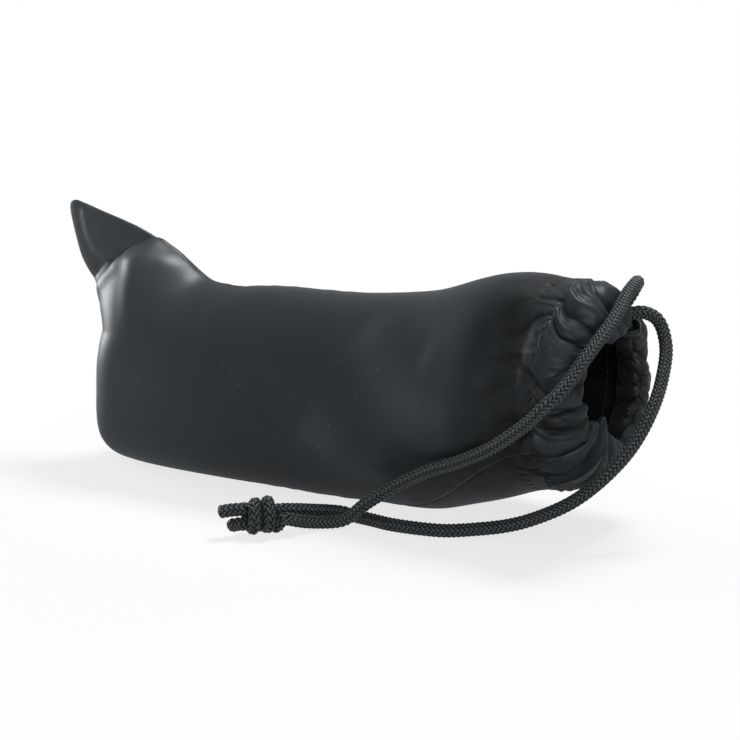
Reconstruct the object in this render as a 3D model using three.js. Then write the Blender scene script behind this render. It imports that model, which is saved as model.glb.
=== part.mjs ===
// A soft drawstring pouch for glasses, lying on its long edge, sewn from two cloth panels.
// X runs from the closed end to the mouth, Y from the front panel to the back one, Z up.
// All lengths are in millimetres. The origin lies under the middle of the cloth, on the table.

import * as THREE from 'three';

// Driving dimensions

const clothThickness = 0.6;
const seamGap = 0.3; // left between neighbouring pieces
const bodyLength = 156; // closed end to the row of stitches at the gathers
const bodyHeight = 58; // at the waist, lying on its long edge
const bodyDepth = 51; // front to back, filled
const endRounding = 18; // how far the closed end takes to swell to its full depth
const restSink = 1.2; // the cloth is pressed this flat on the table
const heelReach = 1; // the closed end draws in this far at the table
const earRise = 21; // the sewn corner stands this far over the body behind it
const earReach = 18; // and leans this far past the closed end
const earCorner = 3; // rounding of its tip
const mouthHeight = 39.5; // middle of the mouth over the table
const mouthTwist = 33; // degrees that the seams turn between the waist and the mouth
const cordDiameter = 3.8;
const cordRingRadius = 22; // middle of the drawstring round the mouth
const casingWidth = 15; // flat width of the hem that the drawstring runs in
const casingSlope = 50; // degrees that the hem leans in towards the middle of the mouth
const hemClearance = 0.4; // between the drawstring and the folds round it
const pleatCount = 16; // gathers round the whole mouth
const pleatDepth = 1.2; // half the height of a gather over the drawstring
const stitchPleatDepth = 0.5; // and at the row of stitches
const earLength = 38; // along the top seam, until it meets the body
const mouthBulge = 2; // the filled cloth billows this far behind the gathers
const pleatFade = 30; // length over which the gathers die out in the panels
const exitWidth = 11; // the gap in the hem that both ends of the drawstring leave by
const notchDepth = 5.25; // length over which that gap opens, from the stitches on
const knotLength = 12.2;
const knotWrapRadius = 3.55; // from the knot's axis to the middle of a wrap
const knotCore = 3.1; // radius of its firm middle, which shows between the wraps
const knotHeading = 225; // degrees from X, the way that the tails point
const knotMiddle = { x: 11.5, y: -51.3 };

// Facets

const panelColumns = 20;
const pleatColumns = 48;
const endRows = 6;
const bodyRows = 11;
const fadeRows = 5;
const hemRows = 6;
const cordSides = 8;
const knotSides = 30;
const knotRows = 32;
const knotSamples = 160; // places along each strand's way through the knot
const cordStep = 6; // length of a straight piece of cord

const TAU = 2 * Math.PI;
const radians = THREE.MathUtils.degToRad;
const clamp = THREE.MathUtils.clamp;
const lerp = THREE.MathUtils.lerp;
const smooth = (x, low, high) => THREE.MathUtils.smoothstep(x, low, high);

// The hem leans from the row of stitches in to the lip, with the drawstring in its middle.

const halfCasing = casingWidth / 2;
const slope = radians(casingSlope);
const stitchRadius = cordRingRadius + halfCasing * Math.sin(slope);
const cordPlane = bodyLength + halfCasing * Math.cos(slope);
const hemHalfHeight = cordDiameter / 2 + hemClearance + pleatDepth;
const strandRadius = (cordDiameter + seamGap) / 2; // from the knot's middle to each strand's, side by side

// Side profile of the filled pouch, as shares of its length and height, from the closed end

const widestShare = 0.46; // height of its widest line
const earFootShare = 0.655; // height at which the closed end starts to lean out to the ear
const heelShare = 0.22; // height under which it draws in again
const twistFrom = 0.4; // the seams start to turn here
const roundFrom = 0.7; // and the section to turn round
const narrowFrom = 0.45; // the underside narrows from here on towards the mouth

// Powers of the section's curves: 1 is an ellipse, less is fuller and more is drawn in

const fullPower = 0.8;
const narrowPower = 1.2;
const finPower = 3;
const earCurve = 1.3; // of the top seam's fall from the tip

const profile = [
  { at: 0.0, top: 0.97, low: 0.0, wide: 0.98 },
  { at: 0.12, top: 1.03, low: 0.0, wide: 0.97 },
  { at: 0.23, top: 0.95, low: 0.0, wide: 0.98 },
  { at: 0.36, top: 0.98, low: 0.0, wide: 1.0 },
  { at: 0.52, top: 0.995, low: 0.0, wide: 0.99 },
  { at: 0.68, top: 1.04, low: 0.0, wide: 1.01 },
  { at: 0.84, top: 1.16, low: 0.03, wide: 1.01 },
  { at: 1.0, top: 1.2, low: 0.12, wide: 1.0 },
];

// A value of the profile at a share of the length, by a smooth curve through its stations.
function profileAt(share, key) {
  const found = profile.findIndex((p) => p.at >= share);
  const i = clamp(found < 0 ? profile.length - 1 : found, 1, profile.length - 1);
  const station = (k) => profile[clamp(k, 0, profile.length - 1)];
  const [a, b] = [station(i - 1), station(i)];
  const span = b.at - a.at;
  const steepness = (k) => {
    const [before, after] = [station(k - 1), station(k + 1)];
    return ((after[key] - before[key]) / (after.at - before.at)) * span;
  };
  const t = clamp((share - a.at) / span, 0, 1);
  const [t2, t3] = [t * t, t * t * t];
  return (2 * t3 - 3 * t2 + 1) * a[key] + (t3 - 2 * t2 + t) * steepness(i - 1)
    + (3 * t2 - 2 * t3) * b[key] + (t3 - t2) * steepness(i);
}

// A quarter circle's rise, from 0 at the closed end to 1 at a distance of its radius
function roundedOff(along, radius) {
  const left = 1 - Math.min(along, radius) / radius;
  return Math.sqrt(clamp(1 - left * left, 0, 1));
}

// The closed outline of the filled pouch, inside its cloth, at a distance from the closed end.
// It starts at the top and goes round by the front.
const outlineSteps = 240;
function outline(along) {
  const share = along / bodyLength;
  const round = smooth(share, roundFrom, 1);
  const ear = clamp(1 - along / earLength, 0, 1) ** earCurve;
  const tip = earCorner * (1 - roundedOff(along, earCorner));
  const bodyTop = bodyHeight * profileAt(share, 'top') + earRise * ear - tip - clothThickness;
  const bodyLow = bodyHeight * profileAt(share, 'low') - restSink + clothThickness;
  const roundRadius = stitchRadius + mouthBulge * Math.sin(Math.PI * round);
  const top = lerp(bodyTop, mouthHeight + roundRadius, round);
  const low = lerp(bodyLow, mouthHeight - roundRadius, round);
  const middle = lerp(widestShare * bodyHeight, mouthHeight, round);
  const swelling = profileAt(share, 'wide') * roundedOff(along, endRounding);
  const half = lerp((bodyDepth / 2 - clothThickness) * swelling, roundRadius, round);
  const upperPower = lerp(1, finPower, ear ** 1.5);
  const narrowing = Math.max(ear ** 3, smooth(share, narrowFrom, roundFrom));
  const lowerPower = lerp(lerp(fullPower, narrowPower, narrowing), 1, round);
  const points = [];
  for (let i = 0; i <= outlineSteps; i++) {
    const angle = (TAU * i) / outlineSteps;
    const [c, s] = [Math.cos(angle), Math.sin(angle)];
    const out = Math.abs(s) ** (c > 0 ? upperPower : lowerPower);
    const z = middle + (c > 0 ? top - middle : middle - low) * c;
    points.push({ y: -Math.sign(s) * half * out, z });
  }
  return points;
}

// One panel's half of an outline, from the top seam to the bottom one, with its running lengths
function panelRun(along, side) {
  const points = outline(along);
  const turn = (outlineSteps * mouthTwist * smooth(along / bodyLength, twistFrom, 1)) / 360;
  const run = [];
  for (let i = 0; i <= outlineSteps / 2; i++) {
    const at = (side < 0 ? i : -i) - turn + outlineSteps;
    const k = Math.floor(at);
    const [a, b] = [points[k % outlineSteps], points[(k + 1) % outlineSteps]];
    run.push({ y: lerp(a.y, b.y, at - k), z: lerp(a.z, b.z, at - k) });
  }
  const lengths = [0];
  for (let i = 1; i < run.length; i++) {
    lengths.push(lengths[i - 1] + Math.hypot(run[i].y - run[i - 1].y, run[i].z - run[i - 1].z));
  }
  return { run, lengths };
}

function atLength({ run, lengths }, wanted) {
  const found = lengths.findIndex((l) => l >= wanted);
  const i = clamp(found < 0 ? lengths.length - 1 : found, 1, lengths.length - 1);
  const t = (wanted - lengths[i - 1]) / (lengths[i] - lengths[i - 1] || 1);
  return { y: lerp(run[i - 1].y, run[i].y, t), z: lerp(run[i - 1].z, run[i].z, t) };
}

// Gathers. Their phase wanders a little, so that no two are alike, and each side has its own.
function pleatWave(v, side) {
  const wander = 0.7 * Math.sin(TAU * v + side) + 0.4 * Math.sin(3 * TAU * v + 2 * side);
  const size = 0.85 + 0.15 * Math.sin(5 * v + 3 * side);
  return size * Math.cos((pleatCount / 2) * TAU * v + wander);
}

// A point inside the cloth of a panel's body. v goes from 0 at the top seam to 1 at the bottom one.
function bodyPoint(along, v, side) {
  const cut = panelRun(along, side);
  const full = cut.lengths.at(-1);
  const point = atLength(cut, lerp(seamGap / 2, full - seamGap / 2, v));
  const untwisted = 1 - smooth(along / bodyLength, twistFrom, 1.1 * twistFrom);
  const y = side * Math.max(side * point.y, lerp(side * point.y, seamGap / 2, untwisted));
  const z = Math.max(point.z, clothThickness);
  const nearEnd = Math.exp(-along / endRounding);
  const upper = clamp((z / bodyHeight - earFootShare) / (1 - earFootShare + earRise / bodyHeight), 0, 1);
  const lower = Math.max(0, 1 - z / (heelShare * bodyHeight));
  const x = along + nearEnd * (heelReach * lower ** 3 - earReach * upper * (2 - upper));
  const gathered = smooth(along, bodyLength - pleatFade, bodyLength) ** 2;
  const swing = (stitchPleatDepth * gathered * pleatWave(v, side)) / Math.hypot(y, z - mouthHeight);
  return new THREE.Vector3(x, y + swing * y, z + swing * (z - mouthHeight));
}

// A point inside the cloth of the turned hem: out to the lip, and back inside to the stitches
function hemPoint(past, v, side) {
  const w = clamp(past < casingWidth ? past : 2 * casingWidth - past, 0, casingWidth) / casingWidth;
  const layer = past < casingWidth ? 1 : -1; // the outer layer, or the one that is turned in
  const halfRing = Math.PI * cordRingRadius;
  const notch = (exitWidth / 2 / halfRing) * (layer > 0 ? smooth(w, 0, notchDepth / casingWidth) : 1);
  const ends = seamGap / 2 / halfRing;
  const share = lerp(ends + notch, 1 - ends, v);
  const turn = radians(mouthTwist) + side * Math.PI * share;
  const reach = -halfCasing * Math.cos(Math.PI * w);
  const height = layer * hemHalfHeight * Math.sin(Math.PI * w) ** lerp(1.4, 1, w);
  const slack = layer > 0 ? 0 : -seamGap * (1 - w);
  const swing = lerp(stitchPleatDepth, pleatDepth, smooth(w, 0, 0.5)) * pleatWave(share, side);
  const lean = slope * smooth(w, 0, 0.3);
  const x = cordPlane + reach * Math.cos(slope) + (height + slack) * Math.sin(slope)
    + swing * Math.sin(lean);
  const radius = cordRingRadius - reach * Math.sin(slope) + (height + slack) * Math.cos(slope)
    + swing * Math.cos(lean);
  return new THREE.Vector3(x, radius * Math.sin(turn), mouthHeight + radius * Math.cos(turn));
}

function panelPoint(a, v, side) {
  return a <= bodyLength ? bodyPoint(a, v, side) : hemPoint(a - bodyLength, v, side);
}

// Thin solids from rows of points, each row a run inside the cloth and the run outside it

function normalAt(a, v, side) {
  const step = 1e-3;
  const du = panelPoint(a + step, v, side).sub(panelPoint(a - step, v, side));
  const dv = panelPoint(a, Math.min(v + step, 1), side).sub(panelPoint(a, Math.max(v - step, 0), side));
  return du.cross(dv).multiplyScalar(side).normalize();
}

function panelRow(a, columns, side) {
  const row = { outer: [], inner: [] };
  for (let j = 0; j <= columns; j++) {
    const v = j / columns;
    const inner = panelPoint(a, v, side);
    const outer = inner.clone().addScaledVector(normalAt(a, v, side), clothThickness);
    outer.z = Math.max(outer.z, 0);
    row.inner.push(inner);
    row.outer.push(outer);
  }
  return row;
}

// The triangles between two runs with their own numbers of points, each run spread evenly from end to end
function zip(first, second, put) {
  let [i, j] = [0, 0];
  while (i < first.length - 1 || j < second.length - 1) {
    const nextFirst = (i + 1) / (first.length - 1);
    const nextSecond = (j + 1) / (second.length - 1);
    if (nextFirst <= nextSecond + 1e-9) put(first[i], first[++i], second[j]);
    else put(first[i], second[++j], second[j - 1]);
  }
}

// A closed sheet of cloth: rows joined face by face and along all four edges
function sheetGeometry(rows, flip) {
  const positions = [];
  const triangle = (a, b, c) => {
    for (const p of flip ? [a, c, b] : [a, b, c]) positions.push(p.x, p.y, p.z);
  };
  const quad = (a, b, c, d) => {
    triangle(a, b, c);
    triangle(a, c, d);
  };
  for (let i = 0; i < rows.length - 1; i++) {
    const [here, next] = [rows[i], rows[i + 1]];
    zip(here.outer, next.outer, triangle);
    zip(here.inner, next.inner, (a, b, c) => triangle(a, c, b));
    quad(here.outer[0], next.outer[0], next.inner[0], here.inner[0]);
    quad(here.outer.at(-1), here.inner.at(-1), next.inner.at(-1), next.outer.at(-1));
  }
  const [first, last] = [rows[0], rows.at(-1)];
  for (let j = 0; j < first.outer.length - 1; j++) {
    quad(first.outer[j], first.inner[j], first.inner[j + 1], first.outer[j + 1]);
  }
  for (let j = 0; j < last.outer.length - 1; j++) {
    quad(last.outer[j], last.outer[j + 1], last.inner[j + 1], last.inner[j]);
  }
  const geometry = new THREE.BufferGeometry();
  return geometry.setAttribute('position', new THREE.Float32BufferAttribute(positions, 3));
}

function panelGeometry(side) {
  const rows = [];
  for (let i = 0; i < endRows; i++) {
    const swelling = endRounding * (1 - Math.cos((Math.PI / 2) * (i / endRows)));
    rows.push(panelRow(swelling, panelColumns, side));
  }
  const fadeStart = bodyLength - pleatFade;
  for (let i = 0; i <= bodyRows; i++) {
    rows.push(panelRow(lerp(endRounding, fadeStart, i / bodyRows), panelColumns, side));
  }
  for (let i = 1; i <= fadeRows; i++) {
    rows.push(panelRow(lerp(fadeStart, bodyLength, i / fadeRows), pleatColumns, side));
  }
  for (let i = 1; i < 2 * hemRows; i++) {
    rows.push(panelRow(bodyLength + (casingWidth * i) / hemRows, pleatColumns, side));
  }
  return sheetGeometry(rows, side > 0);
}

// Where the cloth stands: its middle over the origin, its lowest point on the table

const panels = [panelGeometry(-1), panelGeometry(1)];
const clothBox = new THREE.Box3();
for (const panel of panels) {
  panel.computeBoundingBox();
  clothBox.union(panel.boundingBox);
}
const middleX = (clothBox.min.x + clothBox.max.x) / 2;
for (const panel of panels) panel.translate(-middleX, 0, 0);

// The cord is one length: a ring inside the hem, two free strands, and a knot with two cut tails.

function cordGeometry(curve, steps) {
  const section = new THREE.Shape();
  for (let i = 0; i < cordSides; i++) {
    const angle = (TAU * i) / cordSides;
    const [x, y] = [(cordDiameter / 2) * Math.cos(angle), (cordDiameter / 2) * Math.sin(angle)];
    if (i === 0) section.moveTo(x, y);
    else section.lineTo(x, y);
  }
  return new THREE.ExtrudeGeometry(section, { extrudePath: curve, steps });
}

const through = (points) => new THREE.CatmullRomCurve3(points.map((p) => new THREE.Vector3(...p)));
const stepsFor = (curve) => Math.round(curve.getLength() / cordStep);

// A place on the ring inside the hem, at an angle from the top towards the back
function ringPoint(angle) {
  const [y, z] = [cordRingRadius * Math.sin(angle), cordRingRadius * Math.cos(angle)];
  return new THREE.Vector3(cordPlane - middleX, y, mouthHeight + z);
}

const exitHalfAngle = exitWidth / 2 / cordRingRadius;
const exitAngle = radians(mouthTwist);
const cordGap = seamGap / cordRingRadius;
const ringStart = exitAngle + exitHalfAngle + cordGap / 2;
const ringEnd = exitAngle - exitHalfAngle - cordGap / 2 + TAU;
const ringCurve = new THREE.Curve();
ringCurve.getPoint = (t, target = new THREE.Vector3()) => {
  return target.copy(ringPoint(lerp(ringStart, ringEnd, t)));
};

// The knot lies on the table in front of the pouch. Its own axes run along it to the tails, across it
// to the front, and up.
const knotPlace = new THREE.Matrix4()
  .makeRotationZ(radians(knotHeading))
  .setPosition(knotMiddle.x, knotMiddle.y, knotWrapRadius + cordDiameter / 2);
const inKnot = (along, across, up) => new THREE.Vector3(along, across, up).applyMatrix4(knotPlace);

// A place by its distance along the knot, its angle from the top towards the front, and its distance
// from the knot's axis
function roundKnot([along, degrees, radius]) {
  return [along, radius * Math.sin(radians(degrees)), radius * Math.cos(radians(degrees))];
}

// Both strands go in side by side, wrap round the knot next to each other and come out as the tails.
const loopEnd = -knotLength / 2;
const tailEnd = knotLength / 2;
const upperEntry = -72; // degrees from the top: the upper strand goes in behind the lower one
const lowerEntry = 113;
const upperTurn = [
  [loopEnd, upperEntry, strandRadius],
  [-5.3, upperEntry, strandRadius],
  [-3.2, -70, strandRadius],
  [-1.0, -60, 2.2],
  [1.0, -35, 2.7],
  [2.4, 5, 3.4],
  [3.0, 48, knotWrapRadius],
  [3.1, 90, knotWrapRadius],
  [3.1, 135, 3.4],
  [3.1, 180, 3.1],
  [3.3, 230, 2.9],
  [3.8, 285, 2.5],
  [4.4, 335, 2.1],
  [5.1, 360, strandRadius],
  [tailEnd, 360, strandRadius],
];
const lowerTurn = [
  [loopEnd, lowerEntry, strandRadius],
  [-5.2, lowerEntry, strandRadius],
  [-4.4, 135, 2.5],
  [-3.8, 172, 3.2],
  [-3.1, 225, knotWrapRadius],
  [-2.4, 275, knotWrapRadius],
  [-1.8, 325, knotWrapRadius],
  [-1.3, 372, knotWrapRadius],
  [-1.2, 415, knotWrapRadius],
  [-1.2, 458, knotWrapRadius],
  [-1.0, 500, 3.3],
  [0.2, 530, 2.6],
  [2.2, 542, 2.1],
  [5.1, 540, strandRadius],
  [tailEnd, 540, strandRadius],
];

// A strand's last two points, which run straight into the knot
function reaching(entry) {
  const end = loopEnd - seamGap;
  const places = [end - cordDiameter / 2, end].map((along) => roundKnot([along, entry, strandRadius]));
  return places.map((place) => inKnot(...place).toArray());
}

// A strand's first two points, which carry on from an end of the ring. Forwards is 1 in the ring's own
// direction and -1 against it.
function leaving(ringAngle, forwards) {
  const start = ringPoint(ringAngle + forwards * cordGap);
  const tangent = ringPoint(ringAngle + forwards * 1e-3).sub(ringPoint(ringAngle)).normalize();
  return [start.toArray(), start.clone().addScaledVector(tangent, cordDiameter / 2).toArray()];
}

// Both strands leave the hem at the exit and lie where they were laid.
const frontRoute = [
  ...leaving(ringStart, -1),
  [85.5, 15.4, 59.0],
  [87.3, 17.2, 63.6],
  [89.6, 15.2, 66.6],
  [91.1, 10.2, 67.0],
  [92.4, 2.6, 65.3],
  [94.2, -7.6, 61.2],
  [93.4, -20.8, 53.8],
  [90.0, -29.0, 45.2],
  [86.3, -31.7, 40.9],
  [82.3, -31.8, 36.7],
  [71.5, -31.0, 28.5],
  [60.4, -29.5, 22.6],
  [49.3, -29.0, 17.9],
  [38.8, -30.2, 11.8],
  [32.0, -32.6, 6.8],
  [28.3, -33.3, 3.4],
  [25.9, -34.6, 2.1],
  [23.6, -37.2, 2.0],
  [21.3, -40.7, 2.5],
  [19.3, -44.6, 3.4],
  ...reaching(lowerEntry),
];
const outerRoute = [
  ...leaving(ringEnd, 1),
  [88.3, 11.8, 58.4],
  [91.5, 15.0, 58.6],
  [94.7, 17.6, 56.4],
  [97.9, 16.4, 50.4],
  [100.7, 8.7, 42.2],
  [101.7, -0.2, 34.5],
  [99.7, -7.6, 26.3],
  [95.1, -14.6, 19.0],
  [88.1, -18.8, 12.6],
  [77.7, -22.0, 7.1],
  [71.0, -23.5, 4.8],
  [64.1, -25.0, 3.3],
  [54.8, -27.6, 2.0],
  [46.7, -29.4, 1.9],
  [38.7, -29.9, 1.9],
  [32.3, -28.9, 1.9],
  [26.6, -28.4, 2.0],
  [23.4, -30.0, 2.9],
  [21.0, -33.2, 3.7],
  [19.1, -37.4, 4.6],
  [16.9, -41.8, 5.5],
  ...reaching(upperEntry),
];

// How far the knot reaches from its own axis in one direction. Round a firm middle, that is the far
// side of whichever cord passes there, and middles are places along both.
function knotReach(along, angle, middles) {
  const share = along / tailEnd;
  let reach = Math.max(knotCore * Math.sqrt(1 - share * share), knotCore / 4);
  for (const middle of middles) {
    const forward = middle.y * Math.sin(angle) + middle.z * Math.cos(angle);
    const fromAxis = (along - middle.x) ** 2 + middle.y ** 2 + middle.z ** 2;
    const inside = (cordDiameter / 2) ** 2 - (fromAxis - forward ** 2);
    if (forward > 0 && inside > 0) reach = Math.max(reach, forward + Math.sqrt(inside));
  }
  return reach;
}

function knotGeometry() {
  const middles = [];
  for (const turn of [upperTurn, lowerTurn]) {
    middles.push(...through(turn.map(roundKnot)).getSpacedPoints(knotSamples));
  }
  const positions = [];
  const triangle = (a, b, c) => {
    for (const p of [a, b, c]) positions.push(p.x, p.y, p.z);
  };
  const rings = [];
  for (let i = 0; i <= knotRows; i++) {
    const along = lerp(loopEnd, tailEnd, i / knotRows);
    const ring = [];
    for (let j = 0; j < knotSides; j++) {
      const angle = (TAU * j) / knotSides;
      const reach = knotReach(along, angle, middles);
      ring.push(inKnot(along, reach * Math.sin(angle), reach * Math.cos(angle)));
    }
    rings.push(ring);
  }
  const [loopMiddle, tailMiddle] = [inKnot(loopEnd, 0, 0), inKnot(tailEnd, 0, 0)];
  for (let j = 0; j < knotSides; j++) {
    const k = (j + 1) % knotSides;
    triangle(loopMiddle, rings[0][j], rings[0][k]);
    triangle(tailMiddle, rings[knotRows][k], rings[knotRows][j]);
    for (let i = 0; i < knotRows; i++) {
      triangle(rings[i][j], rings[i + 1][k], rings[i][k]);
      triangle(rings[i][j], rings[i + 1][j], rings[i + 1][k]);
    }
  }
  const geometry = new THREE.BufferGeometry();
  return geometry.setAttribute('position', new THREE.Float32BufferAttribute(positions, 3));
}

// A cut end, straight out of the knot and then leaning the way it was left
function tailCurve(height, length, lean) {
  const start = tailEnd + seamGap;
  return through([
    inKnot(start, 0, height).toArray(),
    inKnot(start + 0.3 * length, 0, height).toArray(),
    inKnot(start + 0.6 * length, 0.3 * lean.across, height + 0.3 * lean.up).toArray(),
    inKnot(start + length, lean.across, height + lean.up).toArray(),
  ]);
}

const upperTail = tailCurve(strandRadius, 5.5, { across: -0.4, up: -0.5 });
const lowerTail = tailCurve(-strandRadius, 2.9, { across: 0.6, up: -0.4 });
const frontCurve = through(frontRoute);
const outerCurve = through(outerRoute);

const make = (name, geometry, color, roughness) => {
  geometry.computeVertexNormals();
  const mesh = new THREE.Mesh(geometry, new THREE.MeshStandardMaterial({ color, roughness, metalness: 0 }));
  mesh.name = name;
  return mesh;
};
const pouch = new THREE.Group();
pouch.add(make('front_panel', panels[0], 0x2b3034, 0.6), make('back_panel', panels[1], 0x2b3034, 0.6));
pouch.add(make('drawstring', cordGeometry(ringCurve, stepsFor(ringCurve)), 0x2f3337, 0.8));
pouch.add(make('front_strand', cordGeometry(frontCurve, stepsFor(frontCurve)), 0x2f3337, 0.8));
pouch.add(make('outer_strand', cordGeometry(outerCurve, stepsFor(outerCurve)), 0x2f3337, 0.8));
pouch.add(make('knot', knotGeometry(), 0x2f3337, 0.8));
pouch.add(make('upper_tail', cordGeometry(upperTail, 2), 0x2f3337, 0.8));
pouch.add(make('lower_tail', cordGeometry(lowerTail, 2), 0x2f3337, 0.8));
export default pouch;
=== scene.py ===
import math

import bpy
import numpy as np
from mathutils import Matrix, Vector, noise


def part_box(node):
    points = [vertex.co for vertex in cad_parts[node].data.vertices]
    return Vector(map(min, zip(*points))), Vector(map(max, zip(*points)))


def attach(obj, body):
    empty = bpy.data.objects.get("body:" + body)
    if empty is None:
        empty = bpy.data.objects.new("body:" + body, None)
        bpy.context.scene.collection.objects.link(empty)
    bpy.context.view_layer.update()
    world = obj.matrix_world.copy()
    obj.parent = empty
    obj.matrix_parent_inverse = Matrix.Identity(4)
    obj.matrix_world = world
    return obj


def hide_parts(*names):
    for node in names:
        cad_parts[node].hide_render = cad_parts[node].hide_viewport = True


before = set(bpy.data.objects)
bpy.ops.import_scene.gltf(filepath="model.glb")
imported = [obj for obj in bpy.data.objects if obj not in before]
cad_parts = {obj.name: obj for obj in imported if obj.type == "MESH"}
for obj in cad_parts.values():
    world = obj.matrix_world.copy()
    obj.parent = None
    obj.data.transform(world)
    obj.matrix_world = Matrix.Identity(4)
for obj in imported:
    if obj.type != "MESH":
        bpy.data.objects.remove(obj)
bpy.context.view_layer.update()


# The camera. A long lens stands in front of the pouch on the mouth's side, a little above it. Sizes
# are written in millimetres in every section, and meshes are made in metres.

MM = 0.001
camera_aim = Vector((13.7, 0, 36)) * MM
camera_azimuth = math.radians(32)
camera_elevation = math.radians(13)
camera_distance = 750 * MM
camera_data = bpy.data.cameras.new("camera")
camera_data.lens = 128.8
camera_data.sensor_width = 36
camera_data.sensor_fit = "HORIZONTAL"
camera = bpy.data.objects.new("camera", camera_data)
level = math.cos(camera_elevation)
camera_back = Vector((
    math.sin(camera_azimuth) * level,
    -math.cos(camera_azimuth) * level,
    math.sin(camera_elevation),
))
camera.location = camera_aim + camera_distance * camera_back
camera.rotation_euler = camera_back.to_track_quat("Z", "Y").to_euler()
bpy.context.scene.collection.objects.link(camera)
bpy.context.scene.camera = camera


# The studio. A white table under three soft lamps: one over the pouch and a little behind it, which
# gives the satin light on the shoulder under the standing corner, one low at the left, and a broad
# one in front. Seen directly or in a reflection, the room is plain white.

bpy.context.scene.view_settings.view_transform = "Standard"

lamps = [
    {"name": "lamp_over", "at": (60, 330, 700), "width": 260, "power": 5.0},
    {"name": "lamp_left", "at": (-750, 100, 130), "width": 240, "power": 5.0},
    {"name": "lamp_front", "at": (560, -640, 320), "width": 520, "power": 2.9},
]
room_colour = (0.93, 0.97, 1, 1)
room_strength = 0.28
white = (1, 1, 1, 1)
table_reach = 3000 * MM
table_grey = (0.78, 0.78, 0.78, 1)
shadow_reach = 100  # from the middle, to where the shadow on the table is at its full depth
white_from = 260  # from the middle, from where the table is plain white
white_in_shadow = 0.74


def add_node(tree, kind, inputs=None, **settings):
    """A new shader node with its settings and the values of its inputs."""
    node = tree.nodes.new("ShaderNode" + kind)
    for name, value in settings.items():
        setattr(node, name, value)
    for name, value in (inputs or {}).items():
        node.inputs[name].default_value = value
    return node


def seen_directly(tree):
    """1 for a ray from the camera, a reflection or through glass, and 0 for any other."""
    path = add_node(tree, "LightPath")
    total = path.outputs["Is Camera Ray"]
    for name in ("Is Glossy Ray", "Is Transmission Ray"):
        either = add_node(tree, "Math", operation="MAXIMUM")
        tree.links.new(total, either.inputs[0])
        tree.links.new(path.outputs[name], either.inputs[1])
        total = either.outputs[0]
    return total


def mixed(tree, share, first, second):
    """The output of a mix of two shaders, which is all the second where the share is 1."""
    mix = add_node(tree, "MixShader")
    tree.links.new(share, mix.inputs["Fac"])
    tree.links.new(first.outputs[0], mix.inputs[1])
    tree.links.new(second.outputs[0], mix.inputs[2])
    return mix.outputs[0]


world = bpy.data.worlds.new("studio")
world.use_nodes = True
bpy.context.scene.world = world
tree = world.node_tree
tree.nodes.clear()
room_light = add_node(tree, "Background", {"Color": room_colour, "Strength": room_strength})
white_wall = add_node(tree, "Background", {"Color": white, "Strength": 1})
room = mixed(tree, seen_directly(tree), room_light, white_wall)
tree.links.new(room, add_node(tree, "OutputWorld").inputs["Surface"])

for lamp in lamps:
    light = bpy.data.lights.new(lamp["name"], "AREA")
    light.shape = "DISK"
    light.size = lamp["width"] * MM
    light.energy = lamp["power"]
    holder = bpy.data.objects.new(lamp["name"], light)
    holder.location = Vector(lamp["at"]) * MM
    holder.rotation_euler = (holder.location - camera_aim).to_track_quat("Z", "Y").to_euler()
    bpy.context.scene.collection.objects.link(holder)

paint = bpy.data.materials.new("white_table")
paint.use_nodes = True
tree = paint.node_tree
tree.nodes.clear()
matt_white = add_node(tree, "BsdfDiffuse", {"Color": table_grey})
lit_white = add_node(tree, "Emission", {"Color": white, "Strength": 1})
place = add_node(tree, "TexCoord")
distance = add_node(tree, "VectorMath", operation="LENGTH")
tree.links.new(place.outputs["Object"], distance.inputs[0])
whiteness = add_node(tree, "MapRange", {
    "From Min": shadow_reach * MM, "From Max": white_from * MM, "To Min": white_in_shadow, "To Max": 1})
tree.links.new(distance.outputs["Value"], whiteness.inputs["Value"])
share = add_node(tree, "Math", operation="MULTIPLY")
tree.links.new(seen_directly(tree), share.inputs[0])
tree.links.new(whiteness.outputs["Result"], share.inputs[1])
top_coat = mixed(tree, share.outputs[0], matt_white, lit_white)
tree.links.new(top_coat, add_node(tree, "OutputMaterial").inputs["Surface"])

table_mesh = bpy.data.meshes.new("table")
corners = [
    (-table_reach, -table_reach, 0),
    (table_reach, -table_reach, 0),
    (table_reach, table_reach, 0),
    (-table_reach, table_reach, 0),
]
table_mesh.from_pydata(corners, [], [(0, 1, 2, 3)])
table_mesh.materials.append(paint)
table = bpy.data.objects.new("table", table_mesh)
bpy.context.scene.collection.objects.link(table)


# The drawstring. One length of braided cord: sixteen yarns round a core, eight each way, each over
# two and under two. It runs round inside the hem, leaves by the notch in the top seam, and both
# ends meet in one knot on the table, with two short cut tails.

cord_diameter = 3.8
stitch_pitch = 1.36  # between neighbouring stitches along the cord
yarns_each_way = 8
yarn_width = 0.98
yarn_height = 0.74
yarn_dive = 0.85  # depth to which a yarn goes under the next, as a share of its height
yarn_pinch = 0.3  # share of its width that it loses there
yarn_sides = 6
core_radius = 1.0
core_sides = 12
cord_step = 0.27  # between the rings of a yarn's mesh
melted_end = 0.9  # length over which a heat-sealed tail rounds off

ring_radius = 22
ring_points = 46
mouth_height = 39.5
mouth_twist = math.radians(33)
notch_half_width = 5.5  # of the notch in the seam, where both ends leave the hem
exit_half_angle = notch_half_width / ring_radius
low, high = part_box("drawstring")
ring_x = (low.x + high.x) / 2 / MM

knot_end = 6.1  # half the knot's length
knot_wrap_radius = 3.55
knot_heading = math.radians(225)
knot_middle = Vector((11.5, -51.3, knot_wrap_radius + cord_diameter / 2))
strand_radius = 2.05  # from the knot's axis to each strand's, side by side
filling_radius = 3.3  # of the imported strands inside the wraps
filling_half = 5
filling_end = 4.6  # where it stops, hidden between the strands
filling_rings = 24
filling_sides = 24


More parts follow.
